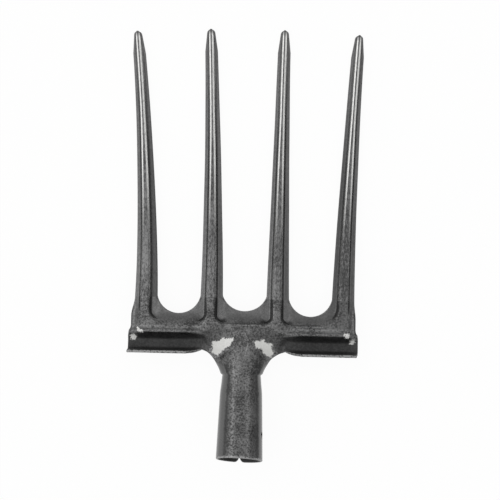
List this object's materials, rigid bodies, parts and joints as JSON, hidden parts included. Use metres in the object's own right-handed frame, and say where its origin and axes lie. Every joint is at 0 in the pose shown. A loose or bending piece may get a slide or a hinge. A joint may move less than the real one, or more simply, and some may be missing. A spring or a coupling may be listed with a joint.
{
  "type": "digging fork head",
  "caption": "Head of a four-tined digging fork, pressed from steel plate, with turned-up foot treads and a rolled tapered socket for a wooden handle.",
  "frame": {"origin": "centre of the bounding box's bottom face; the head lies on its back on Z = 0, as on a bench", "axes": "+Y along the tines towards their tips, -Y towards the socket's mouth, +Z out of the front face, +X to the right seen from the front with the tips up"},
  "size_m": [0.2094, 0.3902, 0.0521],
  "materials": {
    "forged_steel": "hot-pressed carbon steel, dark grey scale under clear lacquer, semi-gloss, finely mottled",
    "tine_steel": "the same steel, drawn along the tine, a little brighter on the crowns and tips"
  },
  "bodies": {
    "root": {"tine_outer_left": "tine_steel", "tine_inner_left": "tine_steel", "tine_inner_right": "tine_steel", "tine_outer_right": "tine_steel", "crosshead": "forged_steel", "tread_left": "forged_steel", "tread_right": "forged_steel", "neck": "forged_steel", "socket": "forged_steel"}
  },
  "joints": []
}
